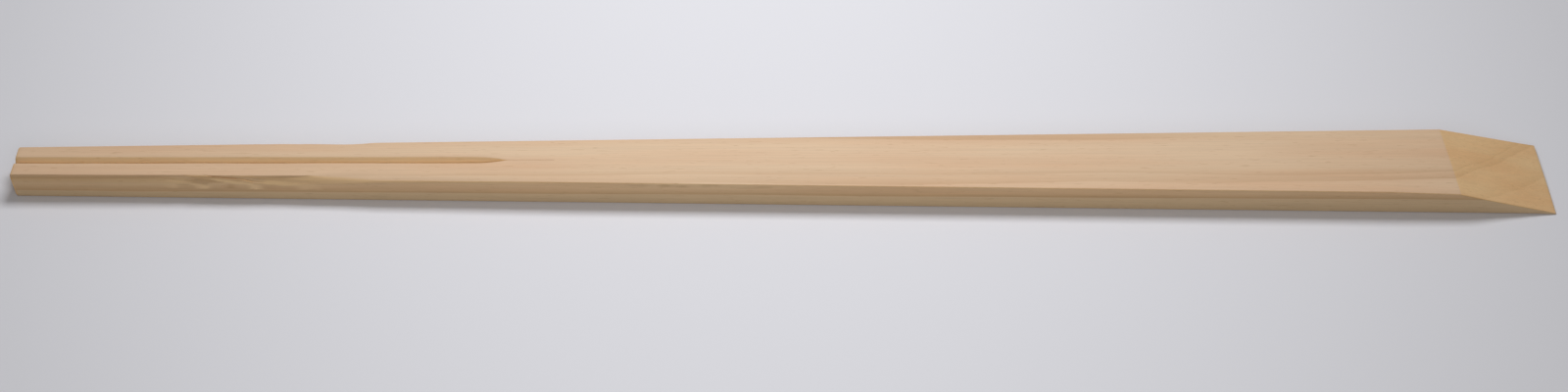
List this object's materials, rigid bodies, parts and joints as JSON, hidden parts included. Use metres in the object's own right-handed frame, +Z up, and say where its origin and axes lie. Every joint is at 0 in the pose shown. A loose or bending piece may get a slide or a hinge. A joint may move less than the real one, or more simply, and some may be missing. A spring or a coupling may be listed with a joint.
{
  "type": "pair of disposable chopsticks",
  "caption": "Flat tapered wooden chopsticks, still joined at the handle half, with a V groove and slit between the tips and slanted heads.",
  "frame": {"origin": "middle of the underside's bounding box, on the surface that the pair lies on", "axes": "+X along the pair from the tips to the slanted heads, +Y across the pair to the back, +Z up through the wood"},
  "size_m": [0.24, 0.0144, 0.0046],
  "materials": {
    "wood": "bare planed softwood, straight grain, matt"
  },
  "bodies": {
    "root": {"chopstick_pair": "wood"}
  },
  "joints": []
}
